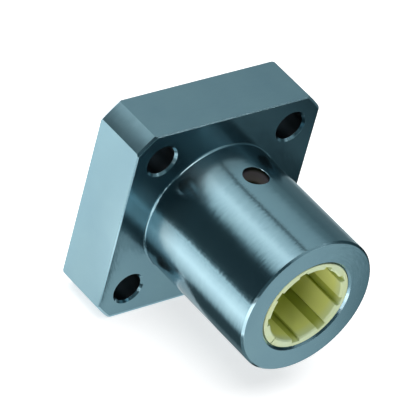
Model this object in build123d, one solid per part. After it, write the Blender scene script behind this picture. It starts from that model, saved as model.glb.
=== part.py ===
"""Flanged linear plain bushing for a 12 mm shaft.

A one-piece aluminium housing, turned from round bar and milled square at its flange, carries a moulded
polymer liner. The liner snaps into the bore by the collars at its ends, and its stud sits in the radial hole
of the barrel, so it can neither slide nor turn.

Frame, in millimetres: the origin is on the bore axis, in the plane of the flange face that seats on the
machine. The barrel points along -Y, the flange lies on +Y, and the radial hole is on top, at +Z.
"""

from build123d import *
import os

# Housing
LENGTH = 32.0
BARREL_DIAMETER = 22.0
NOSE_CHAMFER = 0.3
ROOT_FILLET = 0.25
MOUTH_CHAMFER = 0.3
RADIAL_HOLE_DIAMETER = 3.8
RADIAL_HOLE_EDGE_BREAK = 0.06

# Flange: a turned disc with four flats milled on it
FLANGE_SQUARE = 32.0
FLANGE_DIAMETER = 42.0
FLANGE_THICKNESS = 9.0
RIM_CHAMFER = 0.35
FLAT_EDGE_BREAK = 0.15

# Bolt holes, counterbored from the back for the heads of M4 socket screws
BOLT_CIRCLE = 32.0
BOLT_COUNT = 4
BOLT_HOLE_DIAMETER = 4.5
BOLT_MOUTH_CHAMFER = 0.35
COUNTERBORE_DIAMETER = 7.5
COUNTERBORE_DEPTH = 4.1

# Liner: a sleeve with a collar at each end, grooved inside, slit once and held by a stud
SHAFT_DIAMETER = 12.0
LINER_WALL = 1.0
LINER_INSET = 0.2
COLLAR_HEIGHT = 0.15
COLLAR_LENGTH = 1.0
COLLAR_EDGE_ROUND = 0.12
LEAD_IN_CHAMFER = 0.2
GROOVE_PLACES = 9
GROOVE_WIDTH = 1.4
GROOVE_DEPTH = 0.55
SLIT_WIDTH = 0.25
STUD_HEIGHT = 1.2
STUD_EDGE_CHAMFER = 0.3

# Angles about the axis, counted from +X towards +Z: the radial hole and the stud are at the top
TOP_ANGLE = 90.0
SLIT_ANGLE = 228.0

# Clearances between the liner and the housing, on the radius or at an end face
LINER_CLEARANCE = 0.03
COLLAR_CLEARANCE = 0.1
STUD_CLEARANCE = 0.1

# Radii that follow from those sizes
PAD_RADIUS = SHAFT_DIAMETER / 2
SLEEVE_RADIUS = PAD_RADIUS + LINER_WALL
COLLAR_RADIUS = SLEEVE_RADIUS + COLLAR_HEIGHT
BORE_RADIUS = SLEEVE_RADIUS + LINER_CLEARANCE
RECESS_RADIUS = COLLAR_RADIUS + COLLAR_CLEARANCE
BARREL_RADIUS = BARREL_DIAMETER / 2
STUD_RADIUS = RADIAL_HOLE_DIAMETER / 2 - STUD_CLEARANCE

# Places along the axis, which is Y
SEATING_FACE = 0.0
BACK_FACE = SEATING_FACE + FLANGE_THICKNESS
NOSE_FACE = BACK_FACE - LENGTH
MIDDLE = (BACK_FACE + NOSE_FACE) / 2
RECESS_DEPTH = LINER_INSET + COLLAR_LENGTH + COLLAR_CLEARANCE


def outline_corner(outline: Sketch, radius: float, place: float) -> Vertex:
    """The corner of a turning outline that is nearest to a radius and a place along the axis."""
    return outline.vertices().sort_by_distance((radius, place))[0]


def housing_blank() -> Part:
    """Turn the barrel, the flange disc and the stepped bore as one profile."""
    rim = FLANGE_DIAMETER / 2
    mouth = RECESS_RADIUS + MOUTH_CHAMFER
    outline = make_face(
        Polyline(
            (BORE_RADIUS, BACK_FACE - RECESS_DEPTH),
            (RECESS_RADIUS, BACK_FACE - RECESS_DEPTH),
            (RECESS_RADIUS, BACK_FACE - MOUTH_CHAMFER),
            (mouth, BACK_FACE),
            (rim - RIM_CHAMFER, BACK_FACE),
            (rim, BACK_FACE - RIM_CHAMFER),
            (rim, SEATING_FACE + RIM_CHAMFER),
            (rim - RIM_CHAMFER, SEATING_FACE),
            (BARREL_RADIUS, SEATING_FACE),
            (BARREL_RADIUS, NOSE_FACE + NOSE_CHAMFER),
            (BARREL_RADIUS - NOSE_CHAMFER, NOSE_FACE),
            (mouth, NOSE_FACE),
            (RECESS_RADIUS, NOSE_FACE + MOUTH_CHAMFER),
            (RECESS_RADIUS, NOSE_FACE + RECESS_DEPTH),
            (BORE_RADIUS, NOSE_FACE + RECESS_DEPTH),
            close=True,
        )
    )
    root = outline_corner(outline, BARREL_RADIUS, SEATING_FACE)
    return revolve(fillet(root, ROOT_FILLET), Axis.Y)


def milled_envelope() -> Part:
    """The square block that leaves the four flats, its edges broken, and the room that the barrel keeps."""
    square = Plane.XZ.offset(-BACK_FACE) * Rectangle(FLANGE_SQUARE, FLANGE_SQUARE)
    block = extrude(square, FLANGE_THICKNESS)
    block = chamfer(block.faces().filter_by(Axis.Y).edges(), FLAT_EDGE_BREAK)
    barrel_room = extrude(Plane.XZ * Circle(BARREL_RADIUS + ROOT_FILLET), LENGTH - FLANGE_THICKNESS)
    return block + barrel_room


def bolt_hole() -> Part:
    """One bolt hole on the bore axis, with its counterbore at the back and its broken edge in front."""
    hole = BOLT_HOLE_DIAMETER / 2
    head = COUNTERBORE_DIAMETER / 2
    outline = Polyline(
        (0, BACK_FACE),
        (head, BACK_FACE),
        (head, BACK_FACE - COUNTERBORE_DEPTH),
        (hole, BACK_FACE - COUNTERBORE_DEPTH),
        (hole, SEATING_FACE + BOLT_MOUTH_CHAMFER),
        (hole + BOLT_MOUTH_CHAMFER, SEATING_FACE),
        (0, SEATING_FACE),
        close=True,
    )
    return revolve(make_face(outline), Axis.Y)


def drill_radial_hole(housing: Part) -> Part:
    """Drill the round hole from the top of the barrel into the bore, and break its outer edge."""
    radius = RADIAL_HOLE_DIAMETER / 2
    housing -= extrude(Plane.XY * Pos(0, MIDDLE) * Circle(radius), BARREL_RADIUS)
    outer_edge = housing.edges().sort_by_distance((0, MIDDLE + radius, BARREL_RADIUS))[0]
    return chamfer(outer_edge, RADIAL_HOLE_EDGE_BREAK)


def flanged_housing() -> Part:
    """The whole housing: the turned blank, its flats, its bolt holes and the radial hole."""
    housing = housing_blank() & milled_envelope()
    for place in PolarLocations(BOLT_CIRCLE / 2, BOLT_COUNT, start_angle=180 / BOLT_COUNT):
        housing -= Pos(place.position.X, 0, place.position.Y) * bolt_hole()
    return drill_radial_hole(housing)


def liner_sleeve() -> Part:
    """Turn the sleeve with a collar at each end and a small lead-in at both mouths."""
    back = BACK_FACE - LINER_INSET
    nose = NOSE_FACE + LINER_INSET
    outline = make_face(
        Polyline(
            (PAD_RADIUS, nose + LEAD_IN_CHAMFER),
            (PAD_RADIUS + LEAD_IN_CHAMFER, nose),
            (COLLAR_RADIUS, nose),
            (COLLAR_RADIUS, nose + COLLAR_LENGTH),
            (SLEEVE_RADIUS, nose + COLLAR_LENGTH),
            (SLEEVE_RADIUS, back - COLLAR_LENGTH),
            (COLLAR_RADIUS, back - COLLAR_LENGTH),
            (COLLAR_RADIUS, back),
            (PAD_RADIUS + LEAD_IN_CHAMFER, back),
            (PAD_RADIUS, back - LEAD_IN_CHAMFER),
            close=True,
        )
    )
    rims = [outline_corner(outline, COLLAR_RADIUS, end) for end in (nose, back)]
    return revolve(fillet(rims, COLLAR_EDGE_ROUND), Axis.Y)


def stud() -> Part:
    """The stud on the liner's outside, rooted half way into its wall and chamfered round its top."""
    root = Plane.XY.offset(PAD_RADIUS + LINER_WALL / 2) * Pos(0, MIDDLE)
    body = extrude(root * Circle(STUD_RADIUS), LINER_WALL / 2 + STUD_HEIGHT)
    return chamfer(body.faces().sort_by(Axis.Z)[-1].edges(), STUD_EDGE_CHAMFER)


def lengthwise_cut(reach: float, width: float, angle: float) -> Part:
    """A straight cut along the whole bushing, from its axis out to a radius, turned round the axis."""
    section = Pos(reach / 2, 0) * Rectangle(reach, width)
    return extrude(Plane.XZ.offset(-BACK_FACE) * Rot(0, 0, angle) * section, LENGTH)


def bearing_liner() -> Part:
    """The whole liner: the sleeve with its stud, the dirt grooves in its bore and the slit.

    The stud stands on the middle of a pad, so the first groove is half a pitch from it. The slit takes the
    place of one groove.
    """
    liner = liner_sleeve() + stud()
    pitch = 360 / GROOVE_PLACES
    for index in range(GROOVE_PLACES):
        angle = TOP_ANGLE + (index + 0.5) * pitch
        if abs(angle - SLIT_ANGLE) > pitch / 2:
            liner -= lengthwise_cut(PAD_RADIUS + GROOVE_DEPTH, GROOVE_WIDTH, angle)
    return liner - lengthwise_cut(COLLAR_RADIUS + COLLAR_CLEARANCE, SLIT_WIDTH, SLIT_ANGLE)


os.makedirs("parts", exist_ok=True)
for node, solid in {"flanged_housing": flanged_housing(), "bearing_liner": bearing_liner()}.items():
    export_step(solid, f"parts/{node}.step")
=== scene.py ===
"""Looks of the flanged linear plain bushing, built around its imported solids.

The part keeps the frame of its solids, in metres here: the bore axis is Y, the barrel points along -Y, the
flange lies on +Y and the radial hole is on top. Sizes below are in millimetres unless they say otherwise.
"""

import logging
import math
from dataclasses import dataclass
from enum import Enum

import bpy
import numpy as np
from mathutils import Matrix, Vector

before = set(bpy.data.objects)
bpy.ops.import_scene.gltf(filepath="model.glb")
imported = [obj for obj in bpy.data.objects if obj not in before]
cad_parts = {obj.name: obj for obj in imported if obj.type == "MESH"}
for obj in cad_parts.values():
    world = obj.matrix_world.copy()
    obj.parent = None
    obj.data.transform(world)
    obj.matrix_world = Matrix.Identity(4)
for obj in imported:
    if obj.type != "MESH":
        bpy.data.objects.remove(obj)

LOG = logging.getLogger("bushing")
MM = 0.001
FLOOR_HEIGHT = -16.0
CEILING = 250.0

# Nearly all values of a noise lie between these two, so tones and roughness are spread over that span
NOISE_LOW, NOISE_HIGH = 0.3, 0.7

Corners = tuple[tuple[float, float, float], ...]


def to_linear(hex_colour: str) -> tuple[float, float, float, float]:
    """Turn an sRGB hex colour into linear light.

    Args:
        hex_colour: The colour as "#rrggbb".

    Returns:
        Red, green, blue and an alpha of 1, where a share c up to 0.04045 is c / 12.92, and above it is
        ((c + 0.055) / 1.055) to the power 2.4.
    """
    shares = [int(hex_colour[i:i + 2], 16) / 255 for i in (1, 3, 5)]
    red, green, blue = (c / 12.92 if c <= 0.04045 else ((c + 0.055) / 1.055) ** 2.4 for c in shares)
    return red, green, blue, 1.0


def add_node(tree: bpy.types.NodeTree, kind: str, sockets: dict | None = None,
             **settings: object) -> bpy.types.Node:
    """Add one node with its settings and its inputs.

    Args:
        tree: The node tree that gets the node.
        kind: The node's type, such as "ShaderNodeMath".
        sockets: Input name or index to a value, or to another node's output that is linked to it.
        **settings: Attributes of the node itself.

    Returns:
        The new node.
    """
    node = tree.nodes.new(kind)
    for name, value in settings.items():
        setattr(node, name, value)
    for name, value in (sockets or {}).items():
        if isinstance(value, bpy.types.NodeSocket):
            tree.links.new(value, node.inputs[name])
        else:
            node.inputs[name].default_value = value
    return node


def new_material(name: str) -> bpy.types.Material:
    """Make an empty node material.

    Args:
        name: The finish or the cloth that it is.

    Returns:
        The material, whose node tree has no nodes yet.
    """
    material = bpy.data.materials.new(name)
    material.use_nodes = True
    material.node_tree.nodes.clear()
    return material


@dataclass(frozen=True)
class HardAnodisedAluminium:
    """Turned and milled aluminium under a hard anodised skin.

    The skin gives the metal its grey-blue tone. Fine tool lines run round the axis and along the flats, so
    the edges of reflections are slightly ragged. The drilled walls stay rough, and their dark colour is
    painted shade in the holes.

    Attributes:
        colour: Colour of the reflection.
        deep_colour: The same where the skin is thicker, seen as faint clouds.
        shoulder_shade_colour: A darker colour of the reflection at the shoulder: painted shade in the corner
            against the flange.
        drilled_shade_colour: Dark colour of the bolt holes' walls, and of the radial hole's wall outside its
            band: painted shade in the holes.
        oil_painted_light_colour: Lighter colour of a matte band on the radial hole's wall: painted light
            inside the hole.
        turned_roughness: Roughness of the turned faces.
        milled_roughness: Roughness of the flats and corners of the flange.
        drilled_roughness: Roughness of the drilled walls.
        anisotropy: How much the tool lines stretch reflections.
        lay_turn: Turn from the tool lines to the way in which they stretch reflections, in full turns.
        line_pitch: Width of the tool lines' waves, in mm. Real lines are about 0.1 mm apart, which is too
            fine to show, so these are coarser.
        line_length: Length of the tool lines' waves, in mm.
        line_detail: How many finer waves lie on each wave.
        line_break: How strong the finer waves are, as a share of the coarser ones.
        line_tilt: How far the waves tilt the face to either side, as a slope.
        grain: Size of the skin's grain, in mm, again coarser than the real one so that it shows.
        grain_detail: How many finer grains lie on each grain.
        grain_spread: How far the grain changes the roughness to either side, as a share of it.
        cloud: Size of the slow change of tone over the skin, in mm.
        cloud_detail: How many finer clouds lie on each cloud.
        edge_round: Radius that tumbling leaves on the edges, in mm.
        edge_samples: How many rays feel for each edge.
        end_share: Squared lean towards the axis from which a face counts as an end face.
        flange_start: Place along the axis beyond which the sides are the flange's, in mm.
        barrel_end: Place where the barrel's face ends and its root begins, in mm.
        flare: How far the barrel's face leans outwards at the shoulder, as a slope.
        flare_start: Place along the axis where that lean begins, in mm.
        flare_end: Place where it is full, in mm.
        chatter_roughness: Roughness of the barrel at the shoulder, where the tool slows down.
        bolt_place: Distance of the bolt holes from the middle, across and up, in mm.
        bolt_radius: Radius of the bolt holes' walls, in mm.
        oil_place: Place of the radial hole along the axis, in mm.
        oil_radius: Radius of the radial hole's wall, in mm.
        painted_band_middle: Distance from the bore axis to the middle of the band of painted light on that
            wall, in mm.
        painted_band_half: Half the height of that band, in mm. Beyond it the wall has the painted shade of
            the bolt holes' walls.
        painted_band_blend: How far the band fades inwards and outwards of its edges, in mm.
    """

    colour: str = "#8fb4bf"
    deep_colour: str = "#89aebb"
    shoulder_shade_colour: str = "#78969f"
    drilled_shade_colour: str = "#2c3236"
    oil_painted_light_colour: str = "#6b6677"
    turned_roughness: float = 0.16
    milled_roughness: float = 0.3
    drilled_roughness: float = 0.5
    anisotropy: float = 0.3
    lay_turn: float = 0.25
    line_pitch: float = 0.3
    line_length: float = 1.5
    line_detail: float = 3.0
    line_break: float = 0.6
    line_tilt: float = 0.05
    grain: float = 0.12
    grain_detail: float = 2.0
    grain_spread: float = 0.08
    cloud: float = 7.0
    cloud_detail: float = 3.0
    edge_round: float = 0.05
    edge_samples: int = 4
    end_share: float = 0.3
    flange_start: float = 0.01
    barrel_end: float = -0.3
    flare: float = 0.09
    flare_start: float = -7.5
    flare_end: float = -2.5
    chatter_roughness: float = 0.2
    bolt_place: float = 11.314
    bolt_radius: float = 2.26
    oil_place: float = -7.0
    oil_radius: float = 1.92
    painted_band_middle: float = 9.4
    painted_band_half: float = 0.9
    painted_band_blend: float = 0.25

    def material(self) -> bpy.types.Material:
        """Build the material.

        Returns:
            A metal whose tool lines change along Y on the sides and along the radius on the end faces.
        """
        material = new_material("hard_anodised_aluminium")
        tree = material.node_tree
        place = add_node(tree, "ShaderNodeTexCoord").outputs["Object"]
        xyz = add_node(tree, "ShaderNodeSeparateXYZ", {0: place})
        drilled, painted_band = self.drilled_walls(tree, place, xyz)
        end = self.end_faces(tree)
        milled = add_node(tree, "ShaderNodeMath", {0: xyz.outputs[1], 1: self.flange_start * MM},
                          operation="GREATER_THAN")
        milled = add_node(tree, "ShaderNodeMath", {0: milled.outputs[0], 1: end}, operation="SUBTRACT",
                          use_clamp=True)
        grain = add_node(tree, "ShaderNodeTexNoise", {"Vector": place, "Scale": 1 / (self.grain * MM),
                                                      "Detail": self.grain_detail})
        cloud = add_node(tree, "ShaderNodeTexNoise", {"Vector": place, "Scale": 1 / (self.cloud * MM),
                                                      "Detail": self.cloud_detail})
        tone = add_node(tree, "ShaderNodeMapRange", {0: cloud.outputs["Fac"], 1: NOISE_LOW, 2: NOISE_HIGH})
        skin = add_node(tree, "ShaderNodeMix", {0: tone.outputs[0], 6: to_linear(self.deep_colour),
                                                7: to_linear(self.colour)}, data_type="RGBA")
        # Painted shade: the reflection's colour darkens near the shoulder, in the corner against the flange.
        near = self.shoulder(tree, xyz)
        skin = add_node(tree, "ShaderNodeMix", {0: near, 6: skin.outputs[2],
                                                7: to_linear(self.shoulder_shade_colour)}, data_type="RGBA")
        # Painted shade: the holes' walls take a dark colour for the shade inside them.
        colour = add_node(tree, "ShaderNodeMix", {0: drilled, 6: skin.outputs[2],
                                                  7: to_linear(self.drilled_shade_colour)}, data_type="RGBA")
        # Painted light: a lighter matte band partway down the radial hole's wall, with painted shade above
        # and below it.
        colour = add_node(tree, "ShaderNodeMix", {0: painted_band, 6: colour.outputs[2],
                                                  7: to_linear(self.oil_painted_light_colour)}, data_type="RGBA")
        metallic = add_node(tree, "ShaderNodeMath", {0: 1.0, 1: painted_band}, operation="SUBTRACT")
        finish = add_node(tree, "ShaderNodeMix", {0: near, 2: self.turned_roughness,
                                                  3: self.chatter_roughness}, data_type="FLOAT")
        finish = add_node(tree, "ShaderNodeMix", {0: milled.outputs[0], 2: finish.outputs[0],
                                                  3: self.milled_roughness}, data_type="FLOAT")
        finish = add_node(tree, "ShaderNodeMix", {0: drilled, 2: finish.outputs[0],
                                                  3: self.drilled_roughness}, data_type="FLOAT")
        spread = add_node(tree, "ShaderNodeMapRange", {
            0: grain.outputs["Fac"], 1: NOISE_LOW, 2: NOISE_HIGH, 3: 1 - self.grain_spread,
            4: 1 + self.grain_spread})
        shine = add_node(tree, "ShaderNodeMath", {0: finish.outputs[0], 1: spread.outputs[0]},
                         operation="MULTIPLY")
        lay = add_node(tree, "ShaderNodeTangent", direction_type="RADIAL", axis="Y")
        metal = add_node(tree, "ShaderNodeBsdfPrincipled", {
            "Base Color": colour.outputs[2], "Metallic": metallic.outputs[0], "Roughness": shine.outputs[0],
            "Anisotropic": self.anisotropy, "Anisotropic Rotation": self.lay_turn,
            "Tangent": lay.outputs[0],
            "Normal": self.tool_lines(tree, place, xyz, end, lay.outputs[0], near)})
        add_node(tree, "ShaderNodeOutputMaterial", {"Surface": metal.outputs[0]})
        return material

    def end_faces(self, tree: bpy.types.NodeTree) -> bpy.types.NodeSocket:
        """Tell the faces that look along the axis, which are turned.

        Args:
            tree: The material's node tree.

        Returns:
            1 on those faces, otherwise 0.
        """
        normal = add_node(tree, "ShaderNodeTexCoord").outputs["Normal"]
        facing = add_node(tree, "ShaderNodeSeparateXYZ", {0: normal})
        share = add_node(tree, "ShaderNodeMath", {0: facing.outputs[1], 1: 2.0}, operation="POWER")
        return add_node(tree, "ShaderNodeMath", {0: share.outputs[0], 1: self.end_share},
                        operation="GREATER_THAN").outputs[0]

    def drilled_walls(self, tree: bpy.types.NodeTree, place: bpy.types.NodeSocket,
                      xyz: bpy.types.Node) -> tuple[bpy.types.NodeSocket, bpy.types.NodeSocket]:
        """Tell the walls of the bolt holes and of the radial hole by their distance from the holes' axes.

        Args:
            tree: The material's node tree.
            place: The place on the part.
            xyz: The same place, split into its three parts.

        Returns:
            1 on all those walls and otherwise 0, and the same for the band of painted light on the radial
            hole's wall.
        """
        quarter = add_node(tree, "ShaderNodeVectorMath", {0: place}, operation="ABSOLUTE")
        quarter = add_node(tree, "ShaderNodeVectorMath", {0: quarter.outputs[0], 1: (1, 0, 1)},
                           operation="MULTIPLY")
        bolt = add_node(tree, "ShaderNodeVectorMath", {
            0: quarter.outputs[0], 1: (self.bolt_place * MM, 0, self.bolt_place * MM)}, operation="DISTANCE")
        in_bolt = add_node(tree, "ShaderNodeMath", {0: bolt.outputs["Value"], 1: self.bolt_radius * MM},
                           operation="LESS_THAN")
        level = add_node(tree, "ShaderNodeVectorMath", {0: place, 1: (1, 1, 0)}, operation="MULTIPLY")
        oil = add_node(tree, "ShaderNodeVectorMath", {0: level.outputs[0], 1: (0, self.oil_place * MM, 0)},
                       operation="DISTANCE")
        in_oil = add_node(tree, "ShaderNodeMath", {0: oil.outputs["Value"], 1: self.oil_radius * MM},
                          operation="LESS_THAN")
        above = add_node(tree, "ShaderNodeMath", {0: xyz.outputs[2], 1: 0.0}, operation="GREATER_THAN")
        in_oil = add_node(tree, "ShaderNodeMath", {0: in_oil.outputs[0], 1: above.outputs[0]},
                          operation="MULTIPLY")
        drilled = add_node(tree, "ShaderNodeMath", {0: in_bolt.outputs[0], 1: in_oil.outputs[0]},
                           operation="MAXIMUM")
        # The band of painted light lies at this distance from the bore axis on the radial hole's wall.
        off = add_node(tree, "ShaderNodeMath", {0: xyz.outputs[2], 1: self.painted_band_middle * MM},
                       operation="SUBTRACT")
        off = add_node(tree, "ShaderNodeMath", {0: off.outputs[0]}, operation="ABSOLUTE")
        band = add_node(tree, "ShaderNodeMapRange", {
            0: off.outputs[0], 1: (self.painted_band_half + self.painted_band_blend) * MM,
            2: (self.painted_band_half - self.painted_band_blend) * MM})
        painted_band = add_node(tree, "ShaderNodeMath", {0: in_oil.outputs[0], 1: band.outputs[0]},
                       operation="MULTIPLY")
        return drilled.outputs[0], painted_band.outputs[0]

    def tool_lines(self, tree: bpy.types.NodeTree, place: bpy.types.NodeSocket, xyz: bpy.types.Node,
                   end: bpy.types.NodeSocket, lay: bpy.types.NodeSocket,
                   near: bpy.types.NodeSocket) -> bpy.types.NodeSocket:
        """Tilt the face a little to either side along each tool line, and outwards near the shoulder.

        Args:
            tree: The material's node tree.
            place: The place on the part.
            xyz: The same place, split into its three parts.
            end: 1 on the end faces, otherwise 0.
            lay: The direction of the tool lines.
            near: How near the shoulder the barrel's face is.

        Returns:
            The tilted normal, on edges that are rounded as tumbling leaves them. A wave is short across the
            lines, along Y or along the radius, and long along them.
        """
        across = add_node(tree, "ShaderNodeVectorMath", {0: place, 1: (1, 0, 1)}, operation="MULTIPLY")
        radius = add_node(tree, "ShaderNodeVectorMath", {0: across.outputs[0]}, operation="LENGTH")
        run = add_node(tree, "ShaderNodeMix", {0: end, 2: xyz.outputs[1], 3: radius.outputs["Value"]},
                       data_type="FLOAT")
        long, short = 1 / (self.line_length * MM), 1 / (self.line_pitch * MM)
        wave_x = add_node(tree, "ShaderNodeMath", {0: xyz.outputs[0], 1: long}, operation="MULTIPLY")
        wave_y = add_node(tree, "ShaderNodeMath", {0: run.outputs[0], 1: short}, operation="MULTIPLY")
        wave_z = add_node(tree, "ShaderNodeMath", {0: xyz.outputs[2], 1: long}, operation="MULTIPLY")
        wave = add_node(tree, "ShaderNodeCombineXYZ", {0: wave_x.outputs[0], 1: wave_y.outputs[0],
                                                       2: wave_z.outputs[0]})
        noise = add_node(tree, "ShaderNodeTexNoise", {
            "Vector": wave.outputs[0], "Scale": 1.0, "Detail": self.line_detail,
            "Roughness": self.line_break})
        tilt = add_node(tree, "ShaderNodeMapRange", {0: noise.outputs["Fac"], 1: 0.0, 2: 1.0,
                                                     3: -self.line_tilt, 4: self.line_tilt})
        side = add_node(tree, "ShaderNodeVectorMath", {0: lay, "Scale": tilt.outputs[0]}, operation="SCALE")
        edge = add_node(tree, "ShaderNodeBevel", {"Radius": self.edge_round * MM},
                        samples=self.edge_samples)
        tilted = add_node(tree, "ShaderNodeVectorMath", {0: edge.outputs[0], 1: side.outputs[0]},
                          operation="ADD")
        lean = add_node(tree, "ShaderNodeVectorMath", {0: (0, -self.flare, 0), "Scale": near},
                        operation="SCALE")
        tilted = add_node(tree, "ShaderNodeVectorMath", {0: tilted.outputs[0], 1: lean.outputs[0]},
                          operation="ADD")
        return add_node(tree, "ShaderNodeVectorMath", {0: tilted.outputs[0]},
                        operation="NORMALIZE").outputs[0]

    def shoulder(self, tree: bpy.types.NodeTree, xyz: bpy.types.Node) -> bpy.types.NodeSocket:
        """Tell how near the shoulder a place on the barrel is, where the tool slows down and painted shade
        darkens the colour.

        Args:
            tree: The material's node tree.
            xyz: The place on the part, split into its three parts.

        Returns:
            From 0 along the barrel to 1 at the shoulder, and 0 on the flange.
        """
        near = add_node(tree, "ShaderNodeMapRange", {
            0: xyz.outputs[1], 1: self.flare_start * MM, 2: self.flare_end * MM},
            interpolation_type="SMOOTHSTEP")
        barrel = add_node(tree, "ShaderNodeMath", {0: xyz.outputs[1], 1: self.barrel_end * MM},
                          operation="LESS_THAN")
        return add_node(tree, "ShaderNodeMath", {0: near.outputs[0], 1: barrel.outputs[0]},
                        operation="MULTIPLY").outputs[0]


@dataclass(frozen=True)
class MouldedLinerPolymer:
    """Filled bearing polymer, moulded: matte, pale yellow-green, with a soft low gloss.

    Light that bounces between the pads deepens the colour inside. The thin webs at the floors of the grooves
    get a darker colour than the pads: painted shade in the grooves.

    Attributes:
        colour: Colour of the polymer's outer faces.
        bore_colour: Colour inside the bore, where light that bounces between the pads deepens it.
        deep_colour: Colour where the filler lies thicker, seen as faint clouds.
        web_shade_colour: Darker colour of the thin webs at the groove floors: painted shade in the grooves.
        roughness: Roughness of the moulded skin.
        ior: Index of refraction, typical of a polymer.
        sheen: Strength of its gloss, where 0.5 is that of a plain polymer.
        cloud: Size of the clouds, in mm.
        cloud_detail: How many finer clouds lie on each cloud.
        grain: Size of the skin's grain, in mm.
        grain_detail: How many finer grains lie on each grain.
        grain_depth: Height of the grain in the bump, in mm.
        grain_strength: How much of that height the light shows, from 0 to 1.
        web_radius: Distance from the axis beyond which the wall counts as a web, in mm.
        web_blend: Distance over which the pad's colour goes over into the web's, in mm.
        end_share: Squared lean towards the axis up to which a face is one of the bore or of the outside.
        middle: Place of the liner's middle along the axis, in mm.
        half_length: Half the liner's length, in mm.
        mouth_fade: Depth from each mouth over which the wall takes on its inner colour, in mm.
    """

    colour: str = "#b7c8a8"
    deep_colour: str = "#b8c69a"
    bore_colour: str = "#c6ce7c"
    web_shade_colour: str = "#9faa50"
    roughness: float = 0.42
    ior: float = 1.5
    sheen: float = 0.12
    cloud: float = 3.0
    cloud_detail: float = 4.0
    grain: float = 0.15
    grain_detail: float = 2.0
    grain_depth: float = 0.004
    grain_strength: float = 0.3
    web_radius: float = 6.2
    web_blend: float = 0.2
    end_share: float = 0.5
    middle: float = -7.0
    half_length: float = 15.8
    mouth_fade: float = 1.6

    def material(self) -> bpy.types.Material:
        """Build the material.

        Returns:
            A polymer whose webs are told from the pads by their distance from the axis.
        """
        material = new_material("moulded_liner_polymer")
        tree = material.node_tree
        places = add_node(tree, "ShaderNodeTexCoord")
        place = places.outputs["Object"]
        cloud = add_node(tree, "ShaderNodeTexNoise", {"Vector": place, "Scale": 1 / (self.cloud * MM),
                                                      "Detail": self.cloud_detail})
        grain = add_node(tree, "ShaderNodeTexNoise", {"Vector": place, "Scale": 1 / (self.grain * MM),
                                                      "Detail": self.grain_detail})
        tone = add_node(tree, "ShaderNodeMapRange", {0: cloud.outputs["Fac"], 1: NOISE_LOW, 2: NOISE_HIGH})
        pad = add_node(tree, "ShaderNodeMix", {0: tone.outputs[0], 6: to_linear(self.deep_colour),
                                               7: to_linear(self.colour)}, data_type="RGBA")
        across = add_node(tree, "ShaderNodeVectorMath", {0: place, 1: (1, 0, 1)}, operation="MULTIPLY")
        radius = add_node(tree, "ShaderNodeVectorMath", {0: across.outputs[0]}, operation="LENGTH")
        deep = add_node(tree, "ShaderNodeMapRange", {
            0: radius.outputs["Value"], 1: self.web_radius * MM,
            2: (self.web_radius + self.web_blend) * MM})
        facing = add_node(tree, "ShaderNodeSeparateXYZ", {0: places.outputs["Normal"]})
        inward = add_node(tree, "ShaderNodeMath", {0: facing.outputs[1], 1: 2.0}, operation="POWER")
        inward = add_node(tree, "ShaderNodeMath", {0: inward.outputs[0], 1: self.end_share},
                          operation="LESS_THAN")
        along = add_node(tree, "ShaderNodeVectorMath", {0: place, 1: (0, self.middle * MM, 0)},
                         operation="SUBTRACT")
        along = add_node(tree, "ShaderNodeVectorMath", {0: along.outputs[0], 1: (0, 1, 0)},
                         operation="MULTIPLY")
        along = add_node(tree, "ShaderNodeVectorMath", {0: along.outputs[0]}, operation="LENGTH")
        inside = add_node(tree, "ShaderNodeMapRange", {
            0: along.outputs["Value"], 1: self.half_length * MM,
            2: (self.half_length - self.mouth_fade) * MM})
        inside = add_node(tree, "ShaderNodeMath", {0: inside.outputs[0], 1: inward.outputs[0]},
                          operation="MULTIPLY")
        web = add_node(tree, "ShaderNodeMath", {0: deep.outputs[0], 1: inside.outputs[0]},
                       operation="MULTIPLY")
        colour = add_node(tree, "ShaderNodeMix", {0: inside.outputs[0], 6: pad.outputs[2],
                                                  7: to_linear(self.bore_colour)}, data_type="RGBA")
        # Painted shade: the groove floors take a darker colour than the pads.
        colour = add_node(tree, "ShaderNodeMix", {0: web.outputs[0], 6: colour.outputs[2],
                                                  7: to_linear(self.web_shade_colour)}, data_type="RGBA")
        bump = add_node(tree, "ShaderNodeBump", {
            "Height": grain.outputs["Fac"], "Strength": self.grain_strength,
            "Distance": self.grain_depth * MM})
        polymer = add_node(tree, "ShaderNodeBsdfPrincipled", {
            "Base Color": colour.outputs[2], "Roughness": self.roughness, "IOR": self.ior,
            "Specular IOR Level": self.sheen, "Normal": bump.outputs[0]})
        add_node(tree, "ShaderNodeOutputMaterial", {"Surface": polymer.outputs[0]})
        return material


class Runs(Enum):
    """The direction in which a panel's brightness runs.

    SKEW runs slantwise over the floor, so that the flange mirrors each brightness as one upright line.
    """

    ACROSS = (1.0, 0.0, 0.0)
    UPWARD = (0.0, 0.0, 1.0)
    SKEW = (1.0, 1.032, 0.0)


def flat_sheet(name: str, corners: Corners, material: bpy.types.Material) -> bpy.types.Object:
    """Make a flat sheet with four corners: one face, with no thickness.

    Args:
        name: What the sheet is.
        corners: Its four corners in turn, in mm.
        material: What it is made of.

    Returns:
        The sheet, linked to the scene.
    """
    mesh = bpy.data.meshes.new(name)
    mesh.from_pydata((np.array(corners) * MM).tolist(), [], [(0, 1, 2, 3)])
    mesh.materials.append(material)
    sheet = bpy.data.objects.new(name, mesh)
    bpy.context.scene.collection.objects.link(sheet)
    return sheet


def level_quad(height: float, *places: tuple[float, float]) -> Corners:
    """The four corners of a level sheet, from a height and the place of each in X and in Y."""
    return tuple((x, y, height) for x, y in places)


def level_sheet(height: float, x: tuple[float, float], y: tuple[float, float]) -> Corners:
    """The four corners of a level rectangle between two places in X and in Y."""
    return level_quad(height, (x[0], y[0]), (x[1], y[0]), (x[1], y[1]), (x[0], y[1]))


def upright_sheet(start: tuple[float, float], end: tuple[float, float], top: float) -> Corners:
    """The four corners of an upright rectangle that stands on the floor between two places."""
    return ((*start, FLOOR_HEIGHT), (*end, FLOOR_HEIGHT), (*end, top), (*start, top))


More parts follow.
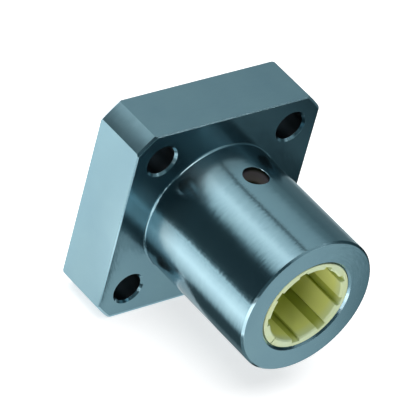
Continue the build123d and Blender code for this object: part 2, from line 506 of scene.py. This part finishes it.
@dataclass(frozen=True)
class Panel:
    """A flat studio panel, either a lit cloth or a dark flag, that the metal reflects.

    Attributes:
        name: What the panel is.
        corners: Its four corners in turn, in mm.
        stops: Places along the panel, in mm, and the brightness at each, where 1 is white.
        runs: The direction that the places are counted along.
        lights: Whether it also lights the matte surfaces.
        red_power: Power of the brightness that its red is, so that dim parts are a little cooler.
        blue_power: Power of the brightness that its blue is.
    """

    name: str
    corners: Corners
    stops: tuple[tuple[float, float], ...]
    runs: Runs = Runs.ACROSS
    lights: bool = False
    red_power: float = 1.17
    blue_power: float = 0.96

    def build(self) -> None:
        """Make the panel, hidden from the camera and without a shadow."""
        panel = flat_sheet(self.name, self.corners, self.glow())
        panel.visible_camera = False
        panel.visible_shadow = False
        panel.visible_diffuse = self.lights

    def glow(self) -> bpy.types.Material:
        """Make the glow: brightness runs in straight lines between the stops.

        Returns:
            A light whose green is the brightness, and whose red and blue are powers of it. Its dim parts are
            a little cooler than its bright parts, as dyed cloth is.
        """
        material = new_material(self.name)
        tree = material.node_tree
        place = add_node(tree, "ShaderNodeTexCoord")
        along = add_node(tree, "ShaderNodeVectorMath", {0: place.outputs["Object"], 1: self.runs.value},
                         operation="DOT_PRODUCT")
        first, last = self.stops[0][0], self.stops[-1][0]
        share = add_node(tree, "ShaderNodeMapRange", {0: along.outputs["Value"], 1: first * MM,
                                                      2: last * MM})
        top = max(strength for _, strength in self.stops)
        curve = add_node(tree, "ShaderNodeFloatCurve", {1: share.outputs[0]})
        points = curve.mapping.curves[0].points
        # A new curve has two points. The others start in its middle, and all get their places below.
        for _ in self.stops[2:]:
            points.new(0.5, 0.5)
        for point, (where, strength) in zip(points, self.stops):
            point.location = ((where - first) / (last - first), strength / top)
            point.handle_type = "VECTOR"
        curve.mapping.update()
        level = add_node(tree, "ShaderNodeMath", {0: curve.outputs[0], 1: top}, operation="MULTIPLY")
        red = add_node(tree, "ShaderNodeMath", {0: level.outputs[0], 1: self.red_power}, operation="POWER")
        blue = add_node(tree, "ShaderNodeMath", {0: level.outputs[0], 1: self.blue_power},
                        operation="POWER")
        tint = add_node(tree, "ShaderNodeCombineXYZ", {0: red.outputs[0], 1: level.outputs[0],
                                                       2: blue.outputs[0]})
        light = add_node(tree, "ShaderNodeEmission", {"Color": tint.outputs[0]})
        add_node(tree, "ShaderNodeOutputMaterial", {"Surface": light.outputs[0]})
        return material


@dataclass
class Studio:
    """The pale floor, the world and the panels round the part.

    The panels stand on the floor, hang at the ceiling or lie just above the floor. Where one covers another,
    the one that the part mirrors is a little nearer to it. Neighbours in one plane meet in a narrow seam.
    Some sheets that lie just above the floor are painted shadow of the part, or painted light over its
    shadow, where the metal mirrors the floor.

    Attributes:
        floor_colour: Colour of the floor.
        floor_reach: Half the floor's side, in mm.
        floor_glow: Brightness that the floor has of its own where it is looked at or mirrored.
        floor_bounce: Brightness with which the floor lights the part's matte surfaces.
        world_strength: Brightness with which the tent all round lights those surfaces, where 1 is white.
        fill_height: Height of the fill lamp, in mm.
        fill_side: Side of the fill lamp, in mm.
        fill_power: Power of the fill lamp, in watts.
        front_place: Place of the lamp that looks into the bore, in mm.
        front_side: Side of that lamp, in mm.
        front_power: Power of that lamp, in watts.
        panels: What the metal reflects.
    """

    floor_colour: str = "#dedede"
    floor_reach: float = 3000.0
    floor_glow: float = 0.68
    floor_bounce: float = 1.15
    world_strength: float = 0.12
    fill_height: float = 900.0
    fill_side: float = 1200.0
    fill_power: float = 10.0
    front_place: tuple[float, float, float] = (-900.0, -430.0, 120.0)
    front_side: float = 240.0
    front_power: float = 1.5
    panels: tuple[Panel, ...] = (
        Panel("overhead_softbox", level_sheet(CEILING, (-420, 900), (0, 450)), (
            (-420, 0.05), (-309, 0.08), (-271, 0.19), (-245, 0.33), (-225, 0.5), (-206, 0.68), (-180, 0.9),
            (-154, 1.08), (-125, 1.28), (-103, 1.42), (-80, 1.55), (-60, 1.36), (-36, 1.06), (-2, 0.9),
            (12, 0.8), (34, 0.56), (42, 0.5), (44, 0.0), (56, 0.0), (58, 0.62), (129, 0.57), (205, 0.51),
            (313, 0.3), (505, 0.23), (900, 0.18)), lights=True),
        Panel("corner_softbox", level_sheet(CEILING - 0.1, (-400, -150), (214, 300)), (
            (-400, 0.05), (-309, 0.06), (-253, 0.21), (-208, 0.69), (-150, 1.1))),
        Panel("rim_softbox", level_quad(CEILING - 0.1, (-330, -85), (600, -5), (600, 0), (-330, 0)), (
            (-330, 0.15), (-238, 1.6), (-160, 4.0), (-100, 5.0), (-49, 4.0), (-2, 2.7), (45, 1.5),
            (94, 1.2), (150, 0.85), (219, 0.5), (312, 0.3), (600, 0.2))),
        Panel("brow_cloth", level_sheet(CEILING, (-600, 600), (-135, 0)), (
            (-600, 0.04), (-200, 0.06), (-145, 0.06), (-105, 0.1), (-65, 0.26), (0, 0.31), (35, 0.3),
            (72, 0.24), (150, 0.18), (205, 0.13), (310, 0.07), (600, 0.05))),
        Panel("front_cloth_overhead", level_sheet(CEILING, (-600, 600), (-450, -135)), (
            (-600, 0.05), (-100, 0.07), (0, 0.12), (300, 0.12), (600, 0.1))),
        Panel("front_softbox", level_quad(CEILING - 0.1, (-300, -420), (600, -255), (600, -163),
                                          (-300, -350)), (
            (-300, 0.1), (-60, 0.15), (-25, 0.45), (60, 0.62), (254, 0.64), (300, 0.5), (360, 0.4),
            (420, 0.3), (600, 0.2))),
        Panel("edge_strip", level_sheet(CEILING - 0.2, (218, 262), (-254, -238)), (
            (218, 3.9), (235, 3.5), (241, 1.7), (262, 1.2))),
        Panel("camera_side_flag", upright_sheet((-330, -60), (-80, -233), CEILING), (
            (-16, 2.2), (-11, 1.6), (-7, 0.12), (15, 0.13), (110, 0.13), (170, 0.04), (250, 0.1)),
              Runs.UPWARD),
        Panel("camera_side_low_flag", upright_sheet((-80, -233), (60, -330), 165), (
            (-16, 0.1), (165, 0.1)), Runs.UPWARD),
        Panel("left_flag", upright_sheet((-100, -60), (-100, 300), 76), (
            (-16, 0.22), (-8, 0.12), (-3, 0.06), (60, 0.05), (76, 0.06)), Runs.UPWARD),
        Panel("front_left_flag", upright_sheet((-120, -125), (-120, -40), 70), (
            (-16, 0.1), (70, 0.09)), Runs.UPWARD),
        Panel("right_flag", upright_sheet((36, -60), (36, -8), 26), (
            (-16, 0.13), (-10, 0.1), (-4, 0.05), (4, 0.04), (8, 0.07), (26, 0.1)), Runs.UPWARD),
        Panel("right_cloth", upright_sheet((36, -8), (36, 60), 26), (
            (-16, 0.5), (-6, 0.48), (4, 0.21), (11, 0.22), (26, 0.19)), Runs.UPWARD),
        # Painted light and shadow: a strip of floor to the left, brighter than the floor, that falls off to
        # dark next to the part, seen only in the metal's reflections.
        Panel("left_strip", level_quad(FLOOR_HEIGHT + 0.1, (-75, 6), (-15, -22), (-15, -1), (-75, 56)), (
            (-75, 1.0), (-57, 1.45), (-42, 1.7), (-33, 1.95), (-27, 1.55), (-22.5, 1.2), (-19, 0.75),
            (-17, 0.25), (-15, 0.08))),
        Panel("front_left_strip", level_quad(FLOOR_HEIGHT + 0.2, (-3.5, -35.5), (-19, -31.5), (-84, -88),
                                             (-60, -110)), (
            (-84, 2.8), (-37, 2.8), (-26, 2.2), (-20, 1.9), (-18, 3.0), (-8, 3.3), (-5, 1.4), (-3, 0.6)),
              lights=True),
        Panel("front_left_floor_flag", level_quad(FLOOR_HEIGHT + 0.3, (-46, -30), (-46, -54), (-150, -147),
                                                  (-150, -60)), ((-150, 0.15), (-46, 0.2))),
        Panel("front_left_card", level_sheet(FLOOR_HEIGHT + 0.15, (-45, -5), (-31, -18)), (
            (-45, 0.9), (-19, 0.9), (-17, 0.3), (-5, 0.3))),
        Panel("front_floor_flag", level_quad(FLOOR_HEIGHT + 0.14, (-230, -430), (-3, -430), (-3, -42),
                                             (-150, -100)), ((-230, 0.1), (-3, 0.12))),
        # Painted light: a sheet as bright as the lit floor, laid over the part's shadow beside the flange,
        # seen only in the metal's reflections.
        Panel("left_floor_painted_light", level_quad(FLOOR_HEIGHT + 0.1, (-16.2, -0.5), (-48, 30), (-48, 40.5),
                                       (-16.2, 9.5)), (
            (-48, 0.88), (-41.7, 0.91), (-31.8, 0.95), (-21.9, 1.1), (-16.2, 1.1))),
        # Painted shadow: a dim sheet on the floor under the barrel, where the part shades the floor, seen
        # only in the metal's reflections.
        Panel("under_part_painted_shadow", level_sheet(FLOOR_HEIGHT + 0.1, (-15, 3), (-27, -0.3)), (
            (-45, 0.06), (-16.5, 0.06), (-15.7, 0.6), (-14.5, 0.61), (-12, 0.57), (-8, 0.55), (-4, 0.51),
            (3, 0.5)), Runs.SKEW),
        # Painted shadow: a dark sheet under the barrel that the metal mirrors in place of the floor there.
        Panel("under_barrel_painted_shadow", level_quad(FLOOR_HEIGHT + 3.5, (-14.8, -1.5), (-14.8, -20), (-5, -22),
                                       (4.3, -20)), ((-14.8, 0.07), (-9.6, 0.07), (-8, 0.2), (5, 0.22))),
        # Painted shadow: the part's shadow on the floor in front of it, dim and darker towards the right,
        # seen only in the metal's reflections.
        Panel("front_cloth", level_quad(FLOOR_HEIGHT + 0.2, (-3, -90), (90, -90), (90, 40), (-3, -12)), (
            (-90, 0.6), (-28, 0.66), (-23.5, 0.64), (-19, 0.57), (-16, 0.48), (-13, 0.36), (-9, 0.22),
            (0, 0.12), (13, 0.045), (60, 0.04)), Runs.SKEW),
    )

    def build(self) -> None:
        """Make the floor, the world, the lamps and the panels."""
        self.build_floor()
        self.build_world()
        self.build_lamp("fill", (0, 0, self.fill_height), self.fill_side, self.fill_power)
        self.build_lamp("front_fill", self.front_place, self.front_side, self.front_power)
        for panel in self.panels:
            panel.build()
            LOG.info("panel %s", panel.name)

    def build_lamp(self, name: str, place: tuple[float, float, float], side: float, power: float) -> None:
        """Make a square soft lamp that looks at the part and lights its matte surfaces only.

        Args:
            name: What the lamp is.
            place: The middle of the lamp, in mm.
            side: Its side, in mm.
            power: Its power, in watts.
        """
        lamp = bpy.data.lights.new(name, "AREA")
        lamp.size = side * MM
        lamp.energy = power
        light = bpy.data.objects.new(name, lamp)
        light.location = Vector(place) * MM
        light.rotation_euler = (-light.location).to_track_quat("-Z", "Y").to_euler()
        light.visible_camera = False
        light.visible_glossy = False
        bpy.context.scene.collection.objects.link(light)

    def seen(self, tree: bpy.types.NodeTree) -> bpy.types.NodeSocket:
        """Tell what is looked at, or mirrored, from what only lights the part.

        Args:
            tree: The node tree that gets the nodes.

        Returns:
            1 for rays from the camera and for rays that metal mirrors or glass passes, otherwise 0.
        """
        path = add_node(tree, "ShaderNodeLightPath")
        mirrored = add_node(tree, "ShaderNodeMath", {0: path.outputs["Is Glossy Ray"],
                                                     1: path.outputs["Is Transmission Ray"]},
                            operation="MAXIMUM")
        return add_node(tree, "ShaderNodeMath", {0: path.outputs["Is Camera Ray"], 1: mirrored.outputs[0]},
                        operation="MAXIMUM").outputs[0]

    def build_floor(self) -> None:
        """Make the floor: a matte pale sheet with a glow of its own, on which the shadow stays."""
        paint = new_material("matte_floor")
        tree = paint.node_tree
        glow = add_node(tree, "ShaderNodeMix", {0: self.seen(tree), 2: self.floor_bounce,
                                                3: self.floor_glow}, data_type="FLOAT")
        matte = add_node(tree, "ShaderNodeBsdfPrincipled", {
            "Base Color": to_linear(self.floor_colour), "Roughness": 1.0, "Specular IOR Level": 0.0,
            "Emission Color": (1, 1, 1, 1), "Emission Strength": glow.outputs[0]})
        add_node(tree, "ShaderNodeOutputMaterial", {"Surface": matte.outputs[0]})
        span = (-self.floor_reach, self.floor_reach)
        floor = flat_sheet("floor", level_sheet(FLOOR_HEIGHT, span, span), paint)

    def build_world(self) -> None:
        """Make the world: white where it is looked at or mirrored, and a plain soft light otherwise."""
        world = bpy.data.worlds.new("tent")
        bpy.context.scene.world = world
        world.use_nodes = True
        tree = world.node_tree
        tree.nodes.clear()
        strength = add_node(tree, "ShaderNodeMix", {0: self.seen(tree), 2: self.world_strength, 3: 1.0},
                            data_type="FLOAT")
        tent = add_node(tree, "ShaderNodeBackground", {"Strength": strength.outputs[0]})
        add_node(tree, "ShaderNodeOutputWorld", {"Surface": tent.outputs[0]})


@dataclass(frozen=True)
class PhotoCamera:
    """The camera of the photograph, fitted to the edges of the part.

    Attributes:
        lens: Focal length in mm for a sensor 36 mm wide.
        azimuth: Turn round Z, where 0 looks along +Y, in degrees.
        elevation: Height above the horizon, in degrees.
        roll: Turn about the line of sight, in degrees.
        distance: Distance from the aimed point, in mm.
        aim: The point in the middle of the picture, in mm.
        clip: The nearest and the farthest distance that it sees, in mm.
    """

    lens: float = 360.88
    azimuth: float = -45.858
    elevation: float = 36.082
    roll: float = 15.555
    distance: float = 588.5
    aim: tuple[float, float, float] = (0.0, -0.228, -0.215)
    clip: tuple[float, float] = (50.0, 20000.0)

    def build(self) -> None:
        """Place the camera: back along the line of sight from the aimed point, then rolled about it."""
        azimuth, elevation = math.radians(self.azimuth), math.radians(self.elevation)
        back = Vector((math.sin(azimuth) * math.cos(elevation), -math.cos(azimuth) * math.cos(elevation),
                       math.sin(elevation)))
        data = bpy.data.cameras.new("photo_camera")
        data.lens = self.lens
        data.clip_start, data.clip_end = (distance * MM for distance in self.clip)
        camera = bpy.data.objects.new("photo_camera", data)
        turn = (-back).to_track_quat("-Z", "Y").to_matrix().to_4x4()
        place = Matrix.Translation((Vector(self.aim) + back * self.distance) * MM)
        camera.matrix_world = place @ turn @ Matrix.Rotation(math.radians(self.roll), 4, "Z")
        bpy.context.scene.collection.objects.link(camera)
        bpy.context.scene.camera = camera


@dataclass
class FlangedHousing:
    """The turned and milled housing, whose shape is the solid's own."""

    node: str = "flanged_housing"
    slot: str = "anodised_housing"
    finish: HardAnodisedAluminium = HardAnodisedAluminium()

    def build(self) -> None:
        """Dress the housing's solid in its finish."""
        dress(self.node, self.finish.material())


@dataclass
class BearingLiner:
    """The moulded liner, whose shape is the solid's own."""

    node: str = "bearing_liner"
    slot: str = "polymer_liner"
    finish: MouldedLinerPolymer = MouldedLinerPolymer()

    def build(self) -> None:
        """Dress the liner's solid in its finish."""
        dress(self.node, self.finish.material())


def dress(node: str, material: bpy.types.Material) -> None:
    """Give a solid's material slots one material.

    Args:
        node: The solid's name.
        material: The solid's finish.
    """
    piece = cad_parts[node]
    for place in piece.material_slots:
        place.link = "OBJECT"
        place.material = material
    LOG.info("piece %s: %d faces, %s", node, len(piece.data.polygons), material.name)


def main() -> None:
    """Build the part's pieces and the studio, and report each."""
    logging.basicConfig(level=logging.INFO, format="%(name)s: %(message)s")
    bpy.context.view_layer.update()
    bpy.context.scene.view_settings.view_transform = "Standard"
    FlangedHousing().build()
    BearingLiner().build()
    Studio().build()
    PhotoCamera().build()


if __name__ == "__main__":
    main()
